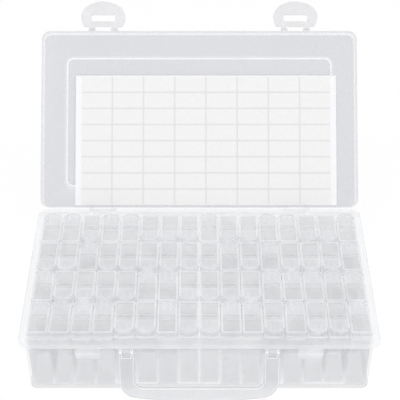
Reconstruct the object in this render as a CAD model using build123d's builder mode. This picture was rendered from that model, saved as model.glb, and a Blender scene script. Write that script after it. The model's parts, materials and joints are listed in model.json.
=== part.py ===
from build123d import *
import os
from math import asin, cos, degrees, radians, sin

# A clear storage case with a hinged lid, two latches and a carry handle. It holds 64 flip-top
# bottles in four rows of sixteen, and a sheet of blank labels lies in the lid.
# Millimetres, +Z up, +Y towards the hinge. The origin is the centre of the case's underside.
# Everything is drawn with the case shut, and the pieces of the lid are then swung open.

# Case
case_width = 230.0
case_depth = 129.0
base_height = 49.0
lid_height = 9.0
wall = 1.6
floor_thickness = 1.6
flange_overhang = 4.4
side_overhang = 3.2
flange_thickness = 1.5
lip_drop = 4.0
lip_thickness = 1.4
upstand_height = 1.2
flange_corner = 6.0
body_corner = 4.0
foot_fillet = 2.0
lid_margin = 0.3
lid_wall = 1.7
lid_panel = 1.6
lid_edge_fillet = 1.4
plateau_width = 195.0
plateau_depth = 95.0
plateau_shift = 1.3
plateau_rise = 1.2
plateau_corner = 5.0
plateau_wall = 1.4
rim_gap = 0.2

# Fits shared by the moving pieces
running_clearance = 0.05
side_gap = 0.3
embed = 0.5

# Lid hinges
hinge_inset = 45.0
hinge_setback = 2.4
hinge_drop = 3.0
hinge_arm_width = 12.0
hinge_pin_radius = 1.1
hinge_knuckle_radius = 2.0
hinge_ear_radius = 2.4
hinge_ear_thickness = 3.0
hinge_ear_foot = 9.0
hinge_arm_rise = 9.5
stop_reach = 6.0
stop_gap = 0.15
open_angle = 135.0

# Latches and their catches
latch_inset = 44.5
latch_setback = 1.9
latch_lift = 2.0
latch_thickness = 2.2
latch_half_width = 16.2
latch_waist = 9.0
latch_dome_height = 11.2
latch_shoulder_depth = 14.7
latch_start = 1.6
latch_corner = 2.2
latch_rim = 1.5
latch_recess = 0.5
slot_width = 17.4
slot_height = 4.9
slot_centre = 7.95
leg_spread = 16.4
leg_width = 3.0
latch_eye_radius = 1.5
latch_pin_radius = 0.7
latch_lug_thickness = 0.8
latch_side_gap = 0.15
catch_side_clearance = 0.5
catch_wall = 1.2
catch_length = 12.6
hook_clearance = 0.3
hook_height = 3.8
hook_tip = 0.3
hook_ramp = 1.6

# Carry handle
handle_width = 101.8
handle_bar = 8.7
handle_thickness = 3.2
handle_web = 1.4
handle_rib = 1.2
handle_reach = 35.8
handle_bow = 4.6
handle_grip = 9.9
handle_outer_corner = 11.0
handle_inner_corner = 6.5
handle_cheek = 1.4
handle_shoulder = 4.0
handle_eye_radius = 2.0
handle_pin_radius = 1.2
handle_ear_radius = 3.0
handle_drop = 7.5
handle_standoff = 3.4
handle_side_gap = 0.25
handle_angle = 22.0

# Label sheet
sheet_width = 191.4
sheet_height = 95.8
sheet_thickness = 0.25
sheet_shift = 4.9
sheet_gap = 0.2
sheet_edge_gap = 0.3
label_columns = 8
label_rows = 8
label_gap = 1.1
label_side_margin = 4.4
label_head_margin = 1.1
label_thickness = 0.12
label_corner = 0.8
label_foot_margin = 0.6

# Bottles
side_play = 0.2
front_gap = 0.3
back_gap = 3.9
seat_gap = 0.2
bottle_gap = 0.5
bottle_rise = 3.8
bottle_corner = 1.2
container_wall = 1.0
container_floor = 1.2
container_foot_chamfer = 0.5
seat_plate = 1.2
seat_inset = 0.25
nose_wall = 2.9
cap_height = 5.2
cap_top = 1.1
cap_nose = 3.7
plug_depth = 2.5
plug_wall = 0.8
pad_height = 1.2
pad_border = 1.3
window_recess = 0.6
window_thickness = 0.8
hinge_line = 0.1
spout_size = 8.0
spout_cut = 1.2
spout_margin = 0.2
flip_inset = 0.1
flip_gap = 0.15
flip_nose = 4.2
flip_overhang = 1.5
flip_lip_height = 1.4
flip_lip_width = 1.1
flip_lip_length = 4.8
flip_rib_width = 0.8
flip_rib_height = 0.5
flip_rib_length = 7.0
flip_rib_spread = 4.4
flip_notch_width = 7.0
flip_notch_length = 0.9
stopper_clearance = 0.3
stopper_far_clearance = 0.5
stopper_wall = 0.8
stopper_depth = 1.1

# Each letter is one bottle, from -X to +X: F has its spout to the front and B to the back.
# A small letter is a bottle with nodes of its own, which lifts out alone.
bottle_rows = {
    "front": "BBBBFfBFFbBFBFFB",
    "second": "BFFFFBbFFFFBBBBB",
    "third": "FFBFFFFFfBFBFFFB",
    "back": "BBFBBFFFBFFBBFFB",
}
columns = len(bottle_rows["front"])

# Places worked out from the sizes above
body_width = case_width - 2 * side_overhang
body_depth = case_depth - 2 * flange_overhang
inner_width = body_width - 2 * wall
inner_depth = body_depth - 2 * wall
inner_corner = body_corner - wall
case_front = -case_depth / 2
case_back = case_depth / 2
body_front = -body_depth / 2
body_back = body_depth / 2
lid_width = case_width + 2 * lid_margin
lid_depth = case_depth + 2 * lid_margin
lid_corner = flange_corner + lid_margin
lid_front = -lid_depth / 2
lid_back = lid_depth / 2
lid_rim = base_height + rim_gap
lid_top = base_height + lid_height
lid_ceiling = lid_top - lid_panel
hinge_y = case_back + hinge_setback
hinge_z = base_height - hinge_drop
hinge_reach = case_width / 2 - hinge_inset
hinge_places = (-hinge_reach, hinge_reach)
latch_y = lid_front - latch_setback
latch_z = lid_rim + latch_lift
latch_reach = case_width / 2 - latch_inset
latch_places = (-latch_reach, latch_reach)
handle_y = body_front - handle_standoff
handle_z = base_height - handle_drop
handle_leg = handle_width / 2 - handle_bar / 2
handle_ear_width = handle_bar - 2 * (handle_cheek + handle_side_gap)
handle_inside = handle_reach - handle_grip
label_pitch_x = (sheet_width - 2 * label_side_margin + label_gap) / label_columns
label_pitch_y = (sheet_height - label_foot_margin - label_head_margin + label_gap) / label_rows
column_pitch = (inner_width - 2 * side_play) / columns
row_pitch = (inner_depth - front_gap - back_gap) / len(bottle_rows)
bottle_width = column_pitch - bottle_gap
bottle_length = row_pitch - flip_overhang - bottle_gap
half_length = bottle_length / 2
bottle_floor = floor_thickness + seat_gap
container_height = base_height + bottle_rise - bottle_floor - cap_height - pad_height
cap_seat = container_height
cap_shelf = cap_seat + cap_height
pad_top = cap_shelf + pad_height
spout_centre = half_length - nose_wall - spout_margin - spout_size / 2
flip_width = bottle_width - 2 * flip_inset
overhang_shift = flip_overhang / 2
rows_front = -inner_depth / 2 + front_gap

hinge_axis = Axis((0, hinge_y, hinge_z), (1, 0, 0))
latch_axis = Axis((0, latch_y, latch_z), (1, 0, 0))
handle_axis = Axis((0, handle_y, handle_z), (1, 0, 0))


def swung_open(piece):
    """A piece of the lid, turned about the hinge from shut to open."""
    return piece.rotate(hinge_axis, -open_angle)


def swung_point(y, z):
    """A point given from the hinge axis in the shut lid, where it is once the lid is open."""
    turn = radians(open_angle)
    return (y * cos(turn) + z * sin(turn), -y * sin(turn) + z * cos(turn))


def side_plane(x, y, z):
    """An upright plane across the case at x, with its own axes +Y and +Z from (y, z)."""
    return Plane(origin=(x, y, z), x_dir=(0, 1, 0), z_dir=(1, 0, 0))


def hanging_plane(x, y, z):
    """An upright plane along the front of the case, with its own axes +X and down."""
    return Plane(origin=(x, y, z), x_dir=(1, 0, 0), z_dir=(0, 1, 0))


def keep(piece, name):
    """Labels one node and writes its file."""
    piece.label = name
    export_step(piece, f"parts/{name}.step")


os.makedirs("parts", exist_ok=True)

# The case's base: a box with an outward flange, a lip round it, catches and brackets
catch_width = slot_width - 2 * catch_side_clearance
catch_foot = base_height - flange_thickness - catch_length
hook_foot = latch_z - slot_centre - slot_height / 2 + hook_clearance
hook_front = latch_y - latch_thickness / 2 - hook_tip
ear_offset = hinge_arm_width / 2 + side_gap
with BuildPart() as case_base:
    with BuildSketch():
        RectangleRounded(body_width, body_depth, body_corner)
    extrude(amount=base_height + upstand_height)
    fillet(case_base.faces().sort_by(Axis.Z)[0].edges(), foot_fillet)
    with BuildSketch(Plane.XY.offset(base_height - lip_drop)):
        RectangleRounded(case_width, case_depth, flange_corner)
        RectangleRounded(
            case_width - 2 * lip_thickness,
            case_depth - 2 * lip_thickness,
            flange_corner - lip_thickness,
            mode=Mode.SUBTRACT,
        )
    extrude(amount=lip_drop)
    with BuildSketch(Plane.XY.offset(base_height - flange_thickness)):
        RectangleRounded(case_width, case_depth, flange_corner)
    extrude(amount=flange_thickness)
    # Catches under the flange, hollow from below, each with the hook that a latch drops over
    for x in latch_places:
        with BuildSketch(side_plane(x - catch_width / 2, 0, 0)):
            with BuildLine():
                Polyline(
                    (body_front + embed, base_height - embed),
                    (case_front, base_height - embed),
                    (case_front, hook_foot + hook_height),
                    (hook_front + hook_ramp, hook_foot + hook_height),
                    (hook_front, hook_foot + hook_height - hook_ramp),
                    (hook_front, hook_foot),
                    (case_front, hook_foot),
                    (case_front, catch_foot),
                    (body_front + embed, catch_foot),
                    close=True,
                )
            make_face()
        extrude(amount=catch_width)
        with BuildSketch(side_plane(x - catch_width / 2 + catch_wall, 0, 0)):
            with Locations(((case_front + body_front + catch_wall) / 2, catch_foot)):
                Rectangle(
                    flange_overhang - catch_wall,
                    2 * (base_height - flange_thickness - catch_foot - catch_wall),
                )
        extrude(amount=catch_width - 2 * catch_wall, mode=Mode.SUBTRACT)
    # One ear for each leg of the handle, with the bore that its pin turns in
    for leg in (-handle_leg, handle_leg):
        with BuildSketch(side_plane(leg - handle_ear_width / 2, handle_y, handle_z)):
            Circle(handle_ear_radius)
            with Locations(((handle_standoff + embed) / 2, (handle_drop - handle_ear_radius) / 2)):
                Rectangle(handle_standoff + embed, handle_drop + handle_ear_radius - 2 * embed)
            Circle(handle_pin_radius + running_clearance, mode=Mode.SUBTRACT)
        extrude(amount=handle_ear_width)
    # Hinge ears behind the flange, each with the slanting foot that the open lid rests on
    for place in hinge_places:
        for x in (place - ear_offset - hinge_ear_thickness, place + ear_offset):
            with BuildSketch(side_plane(x, hinge_y, hinge_z)):
                with BuildLine():
                    Polyline(
                        (body_back - embed - hinge_y, hinge_drop - embed),
                        (0, hinge_drop - 2 * embed),
                        swung_point(lid_back - hinge_y + stop_gap, 0),
                        swung_point(lid_back - hinge_y + stop_gap, stop_reach),
                        swung_point(embed, stop_reach),
                        (body_back - embed - hinge_y, -hinge_ear_foot),
                        close=True,
                    )
                make_face()
                Circle(hinge_ear_radius)
                Circle(hinge_pin_radius + running_clearance, mode=Mode.SUBTRACT)
            extrude(amount=hinge_ear_thickness)
    with BuildSketch(Plane.XY.offset(floor_thickness)):
        RectangleRounded(inner_width, inner_depth, inner_corner)
    extrude(amount=base_height + upstand_height, mode=Mode.SUBTRACT)
keep(case_base.part, "case_base")

# The lid: a shallow tray, upside down, with a raised plateau for stacking
lug_offset = leg_width / 2 + latch_side_gap
with BuildPart() as case_lid:
    with BuildSketch(Plane.XY.offset(lid_rim)):
        RectangleRounded(lid_width, lid_depth, lid_corner)
    extrude(amount=lid_top - lid_rim)
    fillet(case_lid.faces().sort_by(Axis.Z)[-1].edges(), lid_edge_fillet)
    with BuildSketch(Plane.XY.offset(lid_top)):
        with Locations((0, plateau_shift)):
            RectangleRounded(
                plateau_width + 2 * plateau_wall,
                plateau_depth + 2 * plateau_wall,
                plateau_corner + plateau_wall,
            )
    extrude(amount=plateau_rise, taper=35)
    with BuildSketch(Plane.XY.offset(lid_rim)):
        RectangleRounded(lid_width - 2 * lid_wall, lid_depth - 2 * lid_wall, lid_corner - lid_wall)
    extrude(amount=lid_ceiling - lid_rim, mode=Mode.SUBTRACT)
    with BuildSketch(Plane.XY.offset(lid_ceiling)):
        with Locations((0, plateau_shift)):
            RectangleRounded(plateau_width, plateau_depth, plateau_corner)
    extrude(amount=plateau_rise, taper=35, mode=Mode.SUBTRACT)
    # Hinge arms that reach down behind the flange, with the pins that turn in the ears
    for place in hinge_places:
        with BuildSketch(side_plane(place - hinge_arm_width / 2, hinge_y, hinge_z)):
            with BuildLine():
                Polyline(
                    (-hinge_knuckle_radius, 0),
                    (-hinge_knuckle_radius, lid_rim - hinge_z),
                    (lid_back - lid_wall / 2 - hinge_y, lid_rim - hinge_z),
                    (lid_back - lid_wall / 2 - hinge_y, hinge_arm_rise),
                    (lid_back - hinge_y, hinge_arm_rise),
                    (hinge_knuckle_radius, hinge_arm_rise / 2),
                    (hinge_knuckle_radius, 0),
                    close=True,
                )
            make_face()
            Circle(hinge_knuckle_radius)
        extrude(amount=hinge_arm_width)
        pin_length = hinge_arm_width + 2 * (side_gap + hinge_ear_thickness - side_gap / 2)
        with BuildSketch(side_plane(place - pin_length / 2, hinge_y, hinge_z)):
            Circle(hinge_pin_radius)
        extrude(amount=pin_length)
    # Two lugs and a short pin for each leg of a latch
    for place in latch_places:
        for leg in (place - leg_spread / 2, place + leg_spread / 2):
            for x in (leg - lug_offset - latch_lug_thickness, leg + lug_offset):
                with BuildSketch(side_plane(x, latch_y, latch_z)):
                    Circle(latch_eye_radius)
                    with Locations(((latch_setback + embed) / 2, 0)):
                        Rectangle(latch_setback + embed, 2 * latch_eye_radius)
                extrude(amount=latch_lug_thickness)
            with BuildSketch(side_plane(leg - lug_offset - embed, latch_y, latch_z)):
                Circle(latch_pin_radius)
            extrude(amount=2 * (lug_offset + embed))
keep(swung_open(case_lid.part), "case_lid")

# Latches: a domed tab with a slot, on two short legs with eyes
for side, place in zip(("left", "right"), latch_places):
    with BuildPart() as latch:
        with BuildSketch(hanging_plane(place, latch_y, latch_z)) as latch_outline:
            with BuildLine():
                shoulder = degrees(asin((latch_waist - latch_start) / latch_shoulder_depth))
                waist = (0, latch_waist)
                EllipticalCenterArc(waist, latch_half_width, latch_dome_height, 0, arc_size=180)
                left = EllipticalCenterArc(
                    waist, latch_half_width, latch_shoulder_depth, 180, arc_size=shoulder
                )
                right = EllipticalCenterArc(
                    waist, latch_half_width, latch_shoulder_depth, 360 - shoulder, arc_size=shoulder
                )
                Line(left @ 1, right @ 0)
            make_face()
            fillet(latch_outline.vertices().group_by(Axis.Y)[0], latch_corner)
            with Locations((0, slot_centre)):
                RectangleRounded(slot_width, slot_height, latch_rim / 2, mode=Mode.SUBTRACT)
        extrude(amount=latch_thickness / 2, both=True)
        # The finger grip beyond the slot is thinned on the outer face, inside a rim
        grip_foot = slot_centre + slot_height / 2 + latch_rim
        with BuildSketch(hanging_plane(place, latch_y - latch_thickness / 2, latch_z)):
            with Locations((0, latch_waist)):
                Ellipse(latch_half_width - latch_rim, latch_dome_height - latch_rim)
            with Locations((0, grip_foot - latch_waist)):
                Rectangle(2 * latch_half_width, 2 * latch_waist, mode=Mode.SUBTRACT)
        extrude(amount=latch_recess, mode=Mode.SUBTRACT)
        for leg in (-leg_spread / 2, leg_spread / 2):
            with BuildSketch(side_plane(place + leg - leg_width / 2, latch_y, latch_z)):
                Circle(latch_eye_radius)
                with Locations((0, -(latch_start + embed) / 2)):
                    Rectangle(latch_thickness, latch_start + embed)
                Circle(latch_pin_radius + running_clearance, mode=Mode.SUBTRACT)
            extrude(amount=leg_width)
    keep(swung_open(latch.part.rotate(latch_axis, -90)), f"latch_{side}")

# Carry handle: a flat bow with ribbed edges, drawn hanging and then tilted out
with BuildPart() as carry_handle:
    with BuildSketch(hanging_plane(0, handle_y, handle_z)) as bow:
        with BuildLine():
            Line((-handle_width / 2, handle_reach - handle_bow), (-handle_width / 2, handle_shoulder))
            Line((-handle_width / 2, handle_shoulder), (handle_width / 2, handle_shoulder))
            Line((handle_width / 2, handle_shoulder), (handle_width / 2, handle_reach - handle_bow))
            ThreePointArc(
                (handle_width / 2, handle_reach - handle_bow),
                (0, handle_reach),
                (-handle_width / 2, handle_reach - handle_bow),
            )
        make_face()
        fillet(bow.vertices().group_by(Axis.Y)[-1], handle_outer_corner)
        with BuildSketch(mode=Mode.PRIVATE) as finger_gap:
            with Locations((0, (handle_shoulder + handle_inside) / 2 - handle_inner_corner)):
                RectangleRounded(
                    handle_width - 2 * handle_bar,
                    handle_inside - handle_shoulder + 2 * handle_inner_corner,
                    handle_inner_corner,
                )
        add(finger_gap.sketch, mode=Mode.SUBTRACT)
    extrude(amount=handle_thickness / 2, both=True)
    pocket_depth = (handle_thickness - handle_web) / 2
    for face_y, depth in ((-handle_thickness / 2, pocket_depth), (handle_thickness / 2, -pocket_depth)):
        with BuildSketch(hanging_plane(0, handle_y + face_y, handle_z)):
            add(bow.sketch.faces()[0].moved(Location((0, face_y, 0))))
            offset(amount=-handle_rib)
        extrude(amount=depth, mode=Mode.SUBTRACT)
    # Each leg ends in a fork: two cheeks beside the case's ear, and a pin from one to the other
    for leg in (-handle_leg, handle_leg):
        for x in (leg - handle_bar / 2, leg + handle_bar / 2 - handle_cheek):
            with BuildSketch(side_plane(x, handle_y, handle_z)):
                Circle(handle_eye_radius)
                with Locations((0, -(handle_shoulder + embed) / 2)):
                    Rectangle(handle_thickness, handle_shoulder + embed)
            extrude(amount=handle_cheek)
        with BuildSketch(side_plane(leg - handle_bar / 2, handle_y, handle_z)):
            Circle(handle_pin_radius)
        extrude(amount=handle_bar)
keep(carry_handle.part.rotate(handle_axis, -handle_angle), "carry_handle")

# Label sheet: a paper backing against the lid's inside, with a grid of blank labels
sheet_top = lid_ceiling - sheet_gap
sheet_back = lid_back - lid_wall - sheet_edge_gap
sheet_y = sheet_back - sheet_height / 2
labels_y = sheet_back - label_foot_margin - (label_rows * label_pitch_y - label_gap) / 2
with BuildPart() as label_backing:
    with BuildSketch(Plane.XY.offset(sheet_top - sheet_thickness)):
        with Locations((sheet_shift, sheet_y)):
            Rectangle(sheet_width, sheet_height)
    extrude(amount=sheet_thickness)
keep(swung_open(label_backing.part), "label_backing")

with BuildPart() as blank_labels:
    with BuildSketch(Plane.XY.offset(sheet_top - sheet_thickness - label_thickness)):
        with Locations((sheet_shift, labels_y)):
            with GridLocations(label_pitch_x, label_pitch_y, label_columns, label_rows):
                RectangleRounded(label_pitch_x - label_gap, label_pitch_y - label_gap, label_corner)
    extrude(amount=label_thickness)
keep(swung_open(blank_labels.part), "blank_labels")

# One bottle, spout to the front, from its own underside: container, cap and flip lid
with BuildPart() as container:
    with BuildSketch():
        RectangleRounded(bottle_width, bottle_length, bottle_corner)
    extrude(amount=container_height)
    chamfer(container.faces().sort_by(Axis.Z)[0].edges(), container_foot_chamfer)
    with BuildSketch(Plane.XY.offset(container_floor)):
        Rectangle(bottle_width - 2 * container_wall, bottle_length - 2 * container_wall)
    extrude(amount=container_height, mode=Mode.SUBTRACT)


def nosed_outline(width, tail, tip, nose):
    """The outline of a cap or flip lid: square at +Y and rounded towards -Y."""
    half = width / 2
    with BuildSketch() as outline:
        with BuildLine():
            Line((half, -(tip - nose)), (half, tail))
            Line((half, tail), (-half, tail))
            Line((-half, tail), (-half, -(tip - nose)))
            ThreePointArc((-half, -(tip - nose)), (0, -tip), (half, -(tip - nose)))
        make_face()
    return outline.sketch


def round_tail(outline):
    """Rounds the two corners of a cap's sketch at +Y, like the container below."""
    fillet(outline.vertices().group_by(Axis.Y)[-1], bottle_corner)


cap_shape = nosed_outline(bottle_width, half_length, half_length, cap_nose)
plug_width = bottle_width - 2 * container_wall - 2 * running_clearance
plug_length = bottle_length - 2 * container_wall - 2 * running_clearance
with BuildPart() as cap:
    with BuildSketch(Plane.XY.offset(cap_seat)):
        Rectangle(bottle_width - 2 * seat_inset, bottle_length - 2 * seat_inset)
    extrude(amount=seat_plate)
    with BuildSketch(Plane.XY.offset(cap_seat + seat_plate)) as cap_body:
        add(cap_shape)
        round_tail(cap_body)
    extrude(amount=cap_height - seat_plate)
    with BuildSketch(Plane.XY.offset(cap_seat - plug_depth)):
        Rectangle(plug_width, plug_length)
    extrude(amount=plug_depth)
    # The fixed half is raised to lie level with the flip lid
    with BuildSketch(Plane.XY.offset(cap_shelf)) as pad:
        with Locations((0, (half_length + 2 * hinge_line) / 2)):
            Rectangle(bottle_width, half_length - 2 * hinge_line)
        round_tail(pad)
    extrude(amount=pad_height)
    with BuildSketch(Plane.XY.offset(pad_top - window_recess)):
        with Locations((0, (half_length + 2 * hinge_line) / 2)):
            Rectangle(bottle_width - 2 * pad_border, half_length - 2 * hinge_line - 2 * pad_border)
    extrude(amount=window_recess, mode=Mode.SUBTRACT)
    # Hollow from below, higher under the window
    hollow_tail = plug_length / 2 - plug_wall
    hollow_tip = half_length - nose_wall
    with BuildSketch(Plane.XY.offset(cap_seat - plug_depth)):
        with Locations((0, (hollow_tail - hollow_tip) / 2)):
            Rectangle(plug_width - 2 * plug_wall, hollow_tail + hollow_tip)
    extrude(amount=plug_depth + cap_height - cap_top, mode=Mode.SUBTRACT)
    with BuildSketch(Plane.XY.offset(cap_seat)):
        with Locations((0, (half_length + 2 * hinge_line) / 2)):
            Rectangle(bottle_width - 2 * pad_border, half_length - 2 * hinge_line - 2 * pad_border)
    extrude(amount=pad_top - window_recess - window_thickness - cap_seat, mode=Mode.SUBTRACT)
    with BuildSketch(Plane.XY.offset(cap_seat)) as spout:
        with Locations((0, -spout_centre)):
            Rectangle(spout_size, spout_size)
        chamfer(spout.vertices(), spout_cut)
    extrude(amount=cap_height, mode=Mode.SUBTRACT)

flip_foot = cap_shelf + flip_gap
flip_tip = half_length + flip_overhang
flip_shape = nosed_outline(flip_width, 0, flip_tip, flip_nose)
stopper_width = spout_size - 2 * stopper_clearance
stopper_length = spout_size - stopper_clearance - stopper_far_clearance
stopper_y = -spout_centre + (stopper_far_clearance - stopper_clearance) / 2
with BuildPart() as flip_lid:
    with BuildSketch(Plane.XY.offset(flip_foot)):
        add(flip_shape)
        Rectangle(flip_notch_width, 2 * flip_notch_length, mode=Mode.SUBTRACT)
    extrude(amount=pad_top - flip_foot)
    # An upturned lip along the nose, and two ribs behind it
    with BuildSketch(Plane.XY.offset(pad_top)):
        add(flip_shape)
        with BuildSketch(mode=Mode.PRIVATE) as inside_lip:
            add(flip_shape)
            offset(amount=-flip_lip_width)
        add(inside_lip.sketch, mode=Mode.SUBTRACT)
        with Locations((0, 0)):
            Rectangle(2 * flip_width, 2 * (flip_tip - flip_lip_length), mode=Mode.SUBTRACT)
    extrude(amount=flip_lip_height)
    with BuildSketch(Plane.XY.offset(pad_top)):
        with Locations(
            (-flip_rib_spread / 2, -(flip_tip - flip_lip_width - flip_rib_length / 2)),
            (flip_rib_spread / 2, -(flip_tip - flip_lip_width - flip_rib_length / 2)),
        ):
            Rectangle(flip_rib_width, flip_rib_length)
    extrude(amount=flip_rib_height)
    with BuildSketch(Plane.XY.offset(flip_foot - stopper_depth)) as stopper:
        with Locations((0, stopper_y)):
            Rectangle(stopper_width, stopper_length)
        chamfer(stopper.vertices(), spout_cut - stopper_clearance / 2)
        with Locations((0, stopper_y)):
            Rectangle(
                stopper_width - 2 * stopper_wall,
                stopper_length - 2 * stopper_wall,
                mode=Mode.SUBTRACT,
            )
    extrude(amount=stopper_depth)


def bottle_place(row, column):
    """Where a bottle stands in the case, and which way it faces."""
    x = (column + 0.5 - columns / 2) * column_pitch
    cell_y = rows_front + (list(bottle_rows).index(row) + 0.5) * row_pitch
    if bottle_rows[row][column].upper() == "F":
        return Location((x, cell_y + overhang_shift, bottle_floor))
    return Location((x, cell_y - overhang_shift, bottle_floor), (0, 0, 180))


# Bottles of one row that face the same way share their nodes, apart from the single ones
bottle_pieces = {"container": container, "cap": cap, "flip_lid": flip_lid}
for row, letters in bottle_rows.items():
    for letter, facing in (("F", "front"), ("B", "rear")):
        places = [bottle_place(row, column) for column, mark in enumerate(letters) if mark == letter]
        for kind, piece in bottle_pieces.items():
            group = Compound(children=[piece.part.solid().moved(place) for place in places])
            keep(group, f"{row}_row_{facing}_spout_{kind}s")

single_places = [
    bottle_place(row, column)
    for row, letters in bottle_rows.items()
    for column, mark in enumerate(letters)
    if mark.islower()
]
for number, place in enumerate(single_places, 1):
    for kind, piece in bottle_pieces.items():
        keep(piece.part.solid().moved(place), f"single_bottle_{number}_{kind}")
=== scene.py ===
import json
from math import cos, pi, radians, sin

import bpy
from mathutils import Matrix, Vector


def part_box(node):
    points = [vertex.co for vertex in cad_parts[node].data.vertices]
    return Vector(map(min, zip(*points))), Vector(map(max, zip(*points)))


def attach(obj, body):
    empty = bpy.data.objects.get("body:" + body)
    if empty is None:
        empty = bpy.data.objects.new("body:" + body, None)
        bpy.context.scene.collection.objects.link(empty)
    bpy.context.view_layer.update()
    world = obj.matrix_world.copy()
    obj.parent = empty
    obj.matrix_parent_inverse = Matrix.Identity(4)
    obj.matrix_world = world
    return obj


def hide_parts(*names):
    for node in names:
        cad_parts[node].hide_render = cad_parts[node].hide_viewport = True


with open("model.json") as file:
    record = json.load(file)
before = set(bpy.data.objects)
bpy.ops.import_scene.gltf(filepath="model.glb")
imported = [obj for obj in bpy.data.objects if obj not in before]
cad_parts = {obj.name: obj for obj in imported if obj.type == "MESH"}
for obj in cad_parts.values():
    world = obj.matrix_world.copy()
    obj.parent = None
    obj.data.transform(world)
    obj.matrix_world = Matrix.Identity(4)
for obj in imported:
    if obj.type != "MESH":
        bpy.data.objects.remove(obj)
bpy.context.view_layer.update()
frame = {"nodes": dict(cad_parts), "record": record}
nodes = frame["nodes"]
record = frame["record"]
slot_of_node = {part["node"]: part["material_slot"] for part in record["subparts"]}
body_of_node = {
    name: body for body, members in record["behaviour"]["bodies"].items() for name in members
}
mm = 0.001


# Clear moulded plastic and label paper

pattern_low = 0.3  # most of a noise pattern's values lie between these two
pattern_high = 0.7
relief_depth = 0.2 * mm
lighting_loss = 0.93  # the share of its opacity that a plastic loses for shadow and diffuse rays
plastic_ior = 1.49
flow_detail = 4.0
grain_scale = 1400.0
grain_detail = 2.0
grain_relief = 0.05
glossier = 0.05  # how far the grain takes the roughness down and up
duller = 0.08
fibre_scale = 900.0
fibre_detail = 5.0
fibre_stretch = (1.0, 0.35, 0.35)
fibre_relief = 0.1
fibre_contrast = 0.015
paper_roughness = (0.5, 0.62)


def link(tree, source, target):
    tree.links.new(source, target)


def new_material(name):
    """A material, its node tree and shader, and the coordinates that its patterns read."""
    material = bpy.data.materials.new(name)
    material.use_nodes = True
    tree = material.node_tree
    place = tree.nodes.new("ShaderNodeTexCoord")
    return material, tree, tree.nodes["Principled BSDF"], place.outputs["Object"]


def cloud(tree, place, scale, detail, stretch=(1.0, 1.0, 1.0)):
    """Soft unevenness at a size of about 1/scale metres."""
    mapping = tree.nodes.new("ShaderNodeMapping")
    mapping.inputs["Scale"].default_value = stretch
    noise = tree.nodes.new("ShaderNodeTexNoise")
    noise.inputs["Scale"].default_value = scale
    noise.inputs["Detail"].default_value = detail
    link(tree, place, mapping.inputs["Vector"])
    link(tree, mapping.outputs["Vector"], noise.inputs["Vector"])
    return noise.outputs["Fac"]


def spread(tree, value, low, high):
    """Maps a pattern's middle range onto the values from low to high."""
    span = tree.nodes.new("ShaderNodeMapRange")
    span.inputs["From Min"].default_value = pattern_low
    span.inputs["From Max"].default_value = pattern_high
    span.inputs["To Min"].default_value = low
    span.inputs["To Max"].default_value = high
    link(tree, value, span.inputs["Value"])
    return span.outputs["Result"]


def tint(tree, value, shade, contrast):
    """A colour that follows a pattern, a little darker and lighter than its shade."""
    ramp = tree.nodes.new("ShaderNodeValToRGB")
    darker, lighter = ramp.color_ramp.elements
    darker.position = pattern_low
    darker.color = (*(channel - contrast for channel in shade), 1.0)
    lighter.position = pattern_high
    lighter.color = (*(channel + contrast for channel in shade), 1.0)
    link(tree, value, ramp.inputs["Fac"])
    return ramp.outputs["Color"]


def grain(tree, shader, value, strength):
    """A fine relief on the surface."""
    bump = tree.nodes.new("ShaderNodeBump")
    bump.inputs["Strength"].default_value = strength
    bump.inputs["Distance"].default_value = relief_depth
    link(tree, value, bump.inputs["Height"])
    link(tree, bump.outputs["Normal"], shader.inputs["Normal"])


def any_ray(tree, kinds):
    """1 for a ray of one of these kinds, and 0 for any other ray."""
    path = tree.nodes.new("ShaderNodeLightPath")
    found = path.outputs[f"Is {kinds[0]} Ray"]
    for kind in kinds[1:]:
        either = tree.nodes.new("ShaderNodeMath")
        either.operation = "MAXIMUM"
        link(tree, found, either.inputs[0])
        link(tree, path.outputs[f"Is {kind} Ray"], either.inputs[1])
        found = either.outputs[0]
    return found


def let_light_in(tree, shader, seen_alpha):
    """Clear plastic shades little: light passes it more easily than its milky look says."""
    kept = tree.nodes.new("ShaderNodeMath")
    kept.operation = "MULTIPLY_ADD"
    kept.inputs[1].default_value = -lighting_loss
    kept.inputs[2].default_value = 1.0
    alpha = tree.nodes.new("ShaderNodeMath")
    alpha.operation = "MULTIPLY"
    link(tree, any_ray(tree, ("Shadow", "Diffuse")), kept.inputs[0])
    link(tree, kept.outputs[0], alpha.inputs[0])
    link(tree, seen_alpha, alpha.inputs[1])
    link(tree, alpha.outputs[0], shader.inputs["Alpha"])


def clear_plastic(name, shade, alpha, roughness, flow_scale=60.0, flow_stretch=(1.0, 1.0, 0.6),
                  contrast=0.025):
    """Milky clear polypropylene: faint flow marks, a fine mould grain and a soft gloss."""
    material, tree, shader, place = new_material(name)
    flow = cloud(tree, place, flow_scale, flow_detail, flow_stretch)
    fine = cloud(tree, place, grain_scale, grain_detail)
    uneven_roughness = spread(tree, fine, roughness - glossier, roughness + duller)
    link(tree, tint(tree, flow, shade, contrast), shader.inputs["Base Color"])
    let_light_in(tree, shader, spread(tree, flow, alpha - contrast, alpha + contrast))
    link(tree, uneven_roughness, shader.inputs["Roughness"])
    shader.inputs["IOR"].default_value = plastic_ior
    grain(tree, shader, fine, grain_relief)
    return material


def paper(name, shade):
    """Smooth white label paper with a faint fibre."""
    material, tree, shader, place = new_material(name)
    fibre = cloud(tree, place, fibre_scale, fibre_detail, fibre_stretch)
    link(tree, tint(tree, fibre, shade, fibre_contrast), shader.inputs["Base Color"])
    link(tree, spread(tree, fibre, *paper_roughness), shader.inputs["Roughness"])
    grain(tree, shader, fibre, fibre_relief)
    return material


streaks = {"flow_scale": 260.0, "flow_stretch": (1.0, 1.0, 0.03), "contrast": 0.035}
even = {"flow_scale": 14.0, "flow_stretch": (1.0, 1.0, 1.0), "contrast": 0.012}

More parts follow.
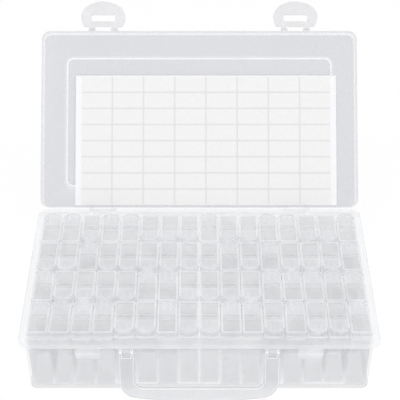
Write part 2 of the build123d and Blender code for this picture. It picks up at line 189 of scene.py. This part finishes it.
# Each plastic's name, shade, opacity and roughness
case_wall = clear_plastic("clear_case_wall", (0.71, 0.72, 0.74), 0.24, 0.22, contrast=0.02)
# Lighter copies paint a highlight on the case's edges and lip and light on its catches and flange
# top; the darker foot copy paints shade
case_edge_highlight = clear_plastic("clear_case_edge", (0.82, 0.83, 0.85), 0.50, 0.16)
case_catch_lit = clear_plastic("clear_case_catch", (0.77, 0.78, 0.80), 0.38, 0.2)
case_foot_shade = clear_plastic("clear_case_foot", (0.56, 0.56, 0.57), 0.5, 0.2)
case_flange_lit = clear_plastic("clear_case_flange", (0.80, 0.81, 0.83), 0.34, 0.2, contrast=0.02)
lid_panel = clear_plastic("clear_lid_panel", (0.49, 0.50, 0.53), 0.42, 0.26, **even)
# Lighter copies paint highlights on the lid's walls and the plateau's step
lid_edge_highlight = clear_plastic("clear_lid_edge", (0.90, 0.91, 0.93), 0.40, 0.2)
lid_step_highlight = clear_plastic("clear_lid_step", (0.92, 0.93, 0.95), 0.75, 0.2)
latch_tab = clear_plastic("clear_latch_tab", (0.62, 0.62, 0.64), 0.50, 0.22)
# A lighter copy for the latches' rounded edges: a painted highlight
latch_edge_highlight = clear_plastic("clear_latch_edge", (0.80, 0.80, 0.82), 0.55, 0.2)
handle_web = clear_plastic("clear_handle_web", (0.60, 0.605, 0.63), 0.50, 0.22)
# A lighter copy paints a highlight on the handle's ribs and rounded edges
handle_edge_highlight = clear_plastic("clear_handle_edge", (0.92, 0.92, 0.94), 0.65, 0.16)
bottle_wall = clear_plastic("clear_bottle_wall", (0.60, 0.61, 0.63), 0.30, 0.18, **streaks)
# A lighter copy for the containers' rounded edges: a painted highlight
bottle_edge_highlight = clear_plastic("clear_bottle_edge", (0.80, 0.81, 0.83), 0.50, 0.16)
# A lighter copy for the containers' rims: painted light
bottle_top_lit = clear_plastic("clear_bottle_top", (0.80, 0.81, 0.83), 0.60, 0.2)
cap_side = clear_plastic("clear_cap_side", (0.67, 0.68, 0.70), 0.42, 0.2)
# A lighter copy for the caps' rounded edges: a painted highlight
cap_edge_highlight = clear_plastic("clear_cap_edge", (0.76, 0.77, 0.79), 0.50, 0.16)
# A lighter copy for the caps' borders: a painted highlight
cap_border_highlight = clear_plastic("clear_cap_border", (0.73, 0.74, 0.76), 0.60, 0.16)
hinge_web = clear_plastic("clear_hinge_web", (0.70, 0.71, 0.73), 0.15, 0.2)
# A darker, clearer copy for the thin windows: painted shade of the bottle's inside
cap_window_shade = clear_plastic("clear_cap_window", (0.62, 0.625, 0.64), 0.42, 0.14)
flip_top = clear_plastic("clear_flip_lid", (0.66, 0.67, 0.69), 0.50, 0.18)
# A lighter copy for the flip lids' rounded edges: a painted highlight
flip_edge_highlight = clear_plastic("clear_flip_edge", (0.78, 0.79, 0.81), 0.55, 0.16)
backing_white = paper("backing_paper", (0.77, 0.77, 0.79))
# A darker copy under the labels: the cut lines and painted shade in the gaps
backing_cut_shade = paper("backing_shade_between_labels", (0.64, 0.64, 0.65))
label_white = paper("label_paper", (0.725, 0.725, 0.725))

# The finish of a piece's faces first, then that of its rounded edges, a lighter copy that paints
# a highlight, then those of marked faces
finishes_of_slot = {
    "case_plastic": (case_wall, case_edge_highlight, case_catch_lit, case_foot_shade, case_flange_lit),
    "lid_plastic": (lid_panel, lid_edge_highlight, lid_step_highlight),
    "latch_plastic": (latch_tab, latch_edge_highlight),
    "handle_plastic": (handle_web, handle_edge_highlight),
    "bottle_plastic": (bottle_wall, bottle_edge_highlight, bottle_top_lit),
    "cap_plastic": (cap_side, cap_edge_highlight, cap_window_shade, cap_border_highlight, hinge_web),
    "flip_plastic": (flip_top, flip_edge_highlight, cap_window_shade, cap_border_highlight, hinge_web),
    "backing_paper": (backing_white, backing_cut_shade),
}
# the lighter finish that paints a highlight on the rounded edges
edge_highlight_finish = 1


# Pieces as they leave the mould

along_x = Vector((1.0, 0.0, 0.0))
along_y = Vector((0.0, 1.0, 0.0))
along_z = Vector((0.0, 0.0, 1.0))
up_the_lid = Vector((0.0, 1.0, 1.0)).normalized()
panel_normal = Vector((0.0, 1.0, -1.0)).normalized()

merge_distance = 0.002 * mm
flat_angle = radians(0.5)
sharp_angle = radians(40.0)
case_rounding = 0.4 * mm
wall_rounding = 0.3 * mm
small_rounding = 0.2 * mm
facing = 0.9  # a face whose normal is this far along a direction faces that way
steep = 0.5  # a face whose normal rises or falls less than this stands up
level = 0.95  # a face whose normal rises or falls less than this isn't level
same_height = 0.1 * mm
same_front = 0.2 * mm


def merged_copy(name, flat_faces_joined=True):
    """A copy of a CAD node as one clean mesh with its slot's finishes, standing for the node."""
    bpy.ops.object.select_all(action="DESELECT")
    nodes[name].select_set(True)
    bpy.context.view_layer.objects.active = nodes[name]
    bpy.ops.object.duplicate()
    piece = bpy.context.object
    piece.name = f"{name}_moulded"
    bpy.ops.object.mode_set(mode="EDIT")
    bpy.ops.mesh.select_all(action="SELECT")
    bpy.ops.mesh.remove_doubles(threshold=merge_distance)
    if flat_faces_joined:
        bpy.ops.mesh.dissolve_limited(angle_limit=flat_angle)
    bpy.ops.object.mode_set(mode="OBJECT")
    slot = slot_of_node[name]
    piece.data.materials.clear()
    for finish in finishes_of_slot[slot]:
        piece.data.materials.append(finish)
    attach(piece, body_of_node[name])
    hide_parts(name)
    return piece


def cut(piece, planes):
    """Cuts the faces along planes, so that both sides of a cut can have finishes of their own."""
    bpy.context.view_layer.objects.active = piece
    bpy.ops.object.mode_set(mode="EDIT")
    for point, direction in planes:
        bpy.ops.mesh.select_all(action="SELECT")
        bpy.ops.mesh.bisect(plane_co=point, plane_no=direction)
    bpy.ops.object.mode_set(mode="OBJECT")


def mark(piece, finish, chosen):
    """Gives the faces that chosen(centre, normal) picks another of the piece's finishes."""
    index = list(piece.data.materials).index(finish)
    for face in piece.data.polygons:
        if chosen(face.center, face.normal):
            face.material_index = index


def round_edges(piece, radius, clamped=True):
    """Rounds the sharp edges and gives them the edges' finish, a lighter copy that paints a
    highlight on them.
    """
    bpy.context.view_layer.objects.active = piece
    bpy.ops.object.shade_smooth_by_angle(angle=sharp_angle)
    rounding = piece.modifiers.new("rounding", "BEVEL")
    rounding.width = radius
    rounding.segments = 2
    rounding.limit_method = "ANGLE"
    rounding.angle_limit = sharp_angle
    rounding.material = edge_highlight_finish
    rounding.harden_normals = True
    rounding.use_clamp_overlap = clamped
    bpy.ops.object.modifier_apply(modifier=rounding.name)


# The case: its lip and catches are seen edge-on and get lighter finishes, a painted highlight on
# the lip and painted light on the catches; its flange top gets painted light, and its thick foot
# painted shade
case = merged_copy("case_base")
lip_foot = 44.9 * mm
lip_face = 63.5 * mm
side_face = 113.9 * mm
catch_face = 60.5 * mm
catch_foot = 30.0 * mm
catch_side = 55.0 * mm
foot_top = 3.5 * mm
cut(case, [(foot_top * along_z, along_z)])
# The lip's faces get a lighter finish: a painted highlight
mark(case, case_edge_highlight, lambda centre, normal: centre.z > lip_foot and abs(normal.z) < steep
     and (abs(centre.x) > side_face or abs(centre.y) > lip_face))
# The flange's top faces get a lighter finish: painted light
mark(case, case_flange_lit, lambda centre, normal: centre.z > lip_foot and normal.z > facing)
round_edges(case, case_rounding)
# The catches get a lighter finish: painted light over the shade under the lip
mark(case, case_catch_lit, lambda centre, normal: centre.y < -catch_face
     and catch_foot < centre.z < lip_foot and abs(centre.x) > catch_side)
# The foot's sides get a darker finish: painted shade
mark(case, case_foot_shade, lambda centre, normal: centre.z < foot_top and abs(normal.z) < level)

# The lid: its walls and the plateau's step are seen edge-on too, and get lighter finishes,
# painted highlights
lid = merged_copy("case_lid")
heights = [vertex.co.dot(up_the_lid) for vertex in lid.data.vertices]
wall_zone = 10.0 * mm
step_low = min(heights) + wall_zone
step_high = max(heights) - wall_zone
step_side = side_face - wall_zone
# The walls and the step get lighter finishes: painted highlights
mark(lid, lid_edge_highlight, lambda centre, normal: abs(normal.dot(panel_normal)) < facing)
mark(lid, lid_step_highlight, lambda centre, normal: abs(normal.dot(panel_normal)) < facing
     and abs(centre.x) < step_side and step_low < centre.dot(up_the_lid) < step_high)
round_edges(lid, wall_rounding)

for name in ("latch_left", "latch_right"):
    round_edges(merged_copy(name, flat_faces_joined=False), small_rounding)

# The handle: ribs stand proud along both edges of its thin web, and their front faces get a
# lighter finish, a painted highlight
handle = merged_copy("carry_handle")
handle_lean = radians(22.0)
handle_front = Vector((0.0, -cos(handle_lean), sin(handle_lean)))
rib_face = max(vertex.co.dot(handle_front) for vertex in handle.data.vertices)
# The ribs' front faces get the lighter finish: a painted highlight
mark(handle, handle_edge_highlight, lambda centre, normal: normal.dot(handle_front) > facing
     and centre.dot(handle_front) > rib_face - same_front)
round_edges(handle, wall_rounding)

# The bottles: the cap's fixed half has a border round its thin window, the border painted
# lighter, a painted highlight, and the window painted darker, a painted shade; the window runs on
# over the clear band of the flip lid at its hinge
window_depth = 0.6 * mm
cap_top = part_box("single_bottle_1_cap")[1][2]
window_floor = cap_top - window_depth
container_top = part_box("single_bottle_1_container")[1][2]
container_rim_zone = 4.0 * mm
border = 1.3 * mm
clear_band = 3.0 * mm
hinge_zone = 0.8 * mm
columns = 16
column_pitch = 13.75 * mm
half_window = 5.3 * mm
column_centres = [(column - (columns - 1) / 2) * column_pitch for column in range(columns)]


def hinge_line(cap_name, flip_name):
    """The line that flip lids turn about, and the side of it that they lie on."""
    flip_low, flip_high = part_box(flip_name)
    cap_low, cap_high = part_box(cap_name)
    if flip_low[1] + flip_high[1] < cap_low[1] + cap_high[1]:
        return flip_high[1], -1.0
    return flip_low[1], 1.0


def cut_windows(piece, name, hinge_side_cut):
    """Cuts along both sides of each bottle's window, and across at one line near the hinge."""
    low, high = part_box(name)
    planes = [(hinge_side_cut * along_y, along_y)]
    for centre in column_centres:
        if low[0] < centre < high[0]:
            planes.append(((centre - half_window) * along_x, along_x))
            planes.append(((centre + half_window) * along_x, along_x))
    cut(piece, planes)


def in_window(centre):
    """Whether a point lies between the two sides of its bottle's window."""
    return min(abs(centre.x - column) for column in column_centres) < half_window


def even_shading(piece):
    """Flat faces look flat and the rounded edges smooth, after the faces have been cut."""
    bpy.ops.object.select_all(action="DESELECT")
    piece.select_set(True)
    bpy.context.view_layer.objects.active = piece
    bpy.ops.mesh.customdata_custom_splitnormals_clear()
    bpy.ops.object.shade_smooth_by_angle(angle=sharp_angle)
    weights = piece.modifiers.new("even_shading", "WEIGHTED_NORMAL")
    weights.keep_sharp = True
    bpy.ops.object.modifier_apply(modifier=weights.name)


def let_all_light_past(piece):
    """The close-packed clear bottles neither shade each other nor darken what lies below them."""
    piece.visible_shadow = False
    piece.visible_diffuse = False


def dress_container(name):
    """Containers: the rims that their caps sit on get a lighter finish than their walls, painted
    light.
    """
    container = merged_copy(name)
    # The rims get the lighter finish: painted light
    mark(container, bottle_top_lit, lambda centre, normal: normal.z > facing
         and centre.z > container_top - container_rim_zone)
    round_edges(container, wall_rounding, clamped=False)
    let_all_light_past(container)


def dress_cap(name):
    """Caps: a border with a painted highlight, a clear window with painted shade, and nearly
    clear faces along the hinge.
    """
    hinge, side = hinge_line(name, name.replace("cap", "flip_lid"))
    cap = merged_copy(name)
    round_edges(cap, small_rounding)
    cut_windows(cap, name, hinge - side * border)
    # The border gets the lighter finish: a painted highlight
    mark(cap, cap_border_highlight, lambda centre, normal: normal.z > facing
         and centre.z > cap_top - same_height)
    # The window, on top and on its floor, gets the darker finish: painted shade
    mark(cap, cap_window_shade, lambda centre, normal: normal.z > facing
         and centre.z > cap_top - same_height
         and abs(centre.y - hinge) < border and in_window(centre))
    mark(cap, cap_window_shade, lambda centre, normal: normal.z > facing
         and abs(centre.z - window_floor) < same_height)
    mark(cap, hinge_web, lambda centre, normal: abs(normal.z) < facing
         and abs(centre.y - hinge) < hinge_zone)
    even_shading(cap)
    let_all_light_past(cap)


def dress_flip_lid(name):
    """Flip lids: side borders with a painted highlight, and a clear band at the hinge that
    carries the window and its painted shade on.
    """
    hinge, side = hinge_line(name.replace("flip_lid", "cap"), name)
    flip = merged_copy(name)
    round_edges(flip, small_rounding)
    cut_windows(flip, name, hinge + side * clear_band)
    # The side borders get the lighter finish: a painted highlight
    mark(flip, cap_border_highlight, lambda centre, normal: normal.z > facing and not in_window(centre))
    # The clear band gets the window's darker finish: painted shade
    mark(flip, cap_window_shade, lambda centre, normal: abs(normal.z) > facing
         and abs(centre.y - hinge) < clear_band and in_window(centre))
    mark(flip, hinge_web, lambda centre, normal: abs(normal.z) < facing
         and abs(centre.y - hinge) < hinge_zone)
    even_shading(flip)
    let_all_light_past(flip)


dress_of_slot = {
    "bottle_plastic": dress_container,
    "cap_plastic": dress_cap,
    "flip_plastic": dress_flip_lid,
}
for name, slot in slot_of_node.items():
    if slot in dress_of_slot:
        dress_of_slot[slot](name)

# The label sheet: the backing is painted grey under the labels and white in its margins; the grey
# shows in the cuts between the labels, partly as the cut lines and partly as painted shade
labels_low, labels_high = (Vector(corner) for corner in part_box("blank_labels"))
labels_foot = labels_low.dot(up_the_lid)
labels_head = labels_high.dot(up_the_lid)
backing = merged_copy("label_backing")
for corner in (labels_low, labels_high):
    cut(backing, [(corner, up_the_lid), (corner, along_x)])
# The backing under the labels gets the darker finish: cut lines and painted shade
mark(backing, backing_cut_shade, lambda centre, normal: labels_low.x < centre.x < labels_high.x
     and labels_foot < centre.dot(up_the_lid) < labels_head)
for slot_holder in nodes["blank_labels"].material_slots:
    slot_holder.material = label_white


# Studio: a white floor and backdrop, soft lamps and the camera

white = (1.0, 1.0, 1.0, 1.0)
floor_grey = (0.9, 0.9, 0.9, 1.0)
floor_roughness = 0.9
floor_glow = 0.92  # the share of plain white that the camera sees in the floor
floor_width = 6.0
floor_gap = 0.2 * mm
skylight_strength = 0.62
backdrop_strength = 0.985
seeing_rays = ("Camera", "Glossy", "Transmission")


def studio_white():
    """White to the camera and in reflections, and a plain white surface that takes shadows."""
    material, tree, shader, _ = new_material("studio_white")
    shader.inputs["Base Color"].default_value = floor_grey
    shader.inputs["Roughness"].default_value = floor_roughness
    glow = tree.nodes.new("ShaderNodeEmission")
    glow.inputs["Color"].default_value = white
    glow.inputs["Strength"].default_value = 1.0
    share = tree.nodes.new("ShaderNodeMath")
    share.operation = "MULTIPLY"
    share.inputs[1].default_value = floor_glow
    mix = tree.nodes.new("ShaderNodeMixShader")
    link(tree, any_ray(tree, seeing_rays), share.inputs[0])
    link(tree, share.outputs[0], mix.inputs[0])
    link(tree, shader.outputs["BSDF"], mix.inputs[1])
    link(tree, glow.outputs[0], mix.inputs[2])
    link(tree, mix.outputs[0], tree.nodes["Material Output"].inputs["Surface"])
    return material


bpy.ops.object.select_all(action="DESELECT")
bpy.ops.mesh.primitive_plane_add(size=floor_width, location=(0.0, 0.0, -floor_gap))
floor = bpy.context.object
floor.name = "studio_floor"
floor.data.materials.append(studio_white())

world = bpy.data.worlds.new("studio")
bpy.context.scene.world = world
world.use_nodes = True
world_tree = world.node_tree
skylight = world_tree.nodes["Background"]
backdrop = world_tree.nodes.new("ShaderNodeBackground")
for background, strength in ((skylight, skylight_strength), (backdrop, backdrop_strength)):
    background.inputs["Color"].default_value = white
    background.inputs["Strength"].default_value = strength
world_mix = world_tree.nodes.new("ShaderNodeMixShader")
world_output = world_tree.nodes["World Output"]
link(world_tree, any_ray(world_tree, seeing_rays), world_mix.inputs[0])
link(world_tree, skylight.outputs[0], world_mix.inputs[1])
link(world_tree, backdrop.outputs[0], world_mix.inputs[2])
link(world_tree, world_mix.outputs[0], world_output.inputs["Surface"])


def lamp(name, place, aim, size, power):
    """A soft square lamp at place, facing aim."""
    data = bpy.data.lights.new(name, "AREA")
    data.shape = "SQUARE"
    data.size = size
    data.energy = power
    holder = bpy.data.objects.new(name, data)
    bpy.context.scene.collection.objects.link(holder)
    holder.location = place
    holder.rotation_euler = (Vector(aim) - Vector(place)).to_track_quat("-Z", "Y").to_euler()


case_middle = (0.0, 0.05, 0.05)
front_wall = (0.0, -0.05, 0.03)
lamp("key_lamp", (-0.9, -0.7, 1.5), case_middle, 0.9, 9.0)
lamp("fill_lamp", (1.1, -0.5, 1.1), case_middle, 0.9, 5.0)
lamp("front_lamp", (0.1, -1.6, 0.5), front_wall, 0.9, 5.0)
lamp("top_lamp", (0.1, 0.6, 1.7), case_middle, 0.8, 6.0)

# The camera stands where the photo's straight edges put it. Its focal length and the centre of
# its view are in pixels of the picture.
sensor_width = 36.0
picture_width = 400.0
focal_length = 1097.8
view_centre_x = 199.29
view_centre_y = 208.76
elevation = radians(41.51)
distance = 0.7896
hinge_centre = Vector((0.0, 0.065, 0.049))
camera_data = bpy.data.cameras.new("camera")
camera_data.sensor_width = sensor_width
camera_data.lens = sensor_width * focal_length / picture_width
camera_data.shift_x = (picture_width / 2 - view_centre_x) / picture_width
camera_data.shift_y = (view_centre_y - picture_width / 2) / picture_width
camera_data.clip_start = 0.01
camera = bpy.data.objects.new("camera", camera_data)
bpy.context.scene.collection.objects.link(camera)
towards_camera = Vector((0.0, -distance * cos(elevation), distance * sin(elevation)))
camera.location = hinge_centre + towards_camera
camera.rotation_euler = (pi / 2 - elevation, 0.0, 0.0)
bpy.context.scene.camera = camera
bpy.context.scene.view_settings.view_transform = "Standard"
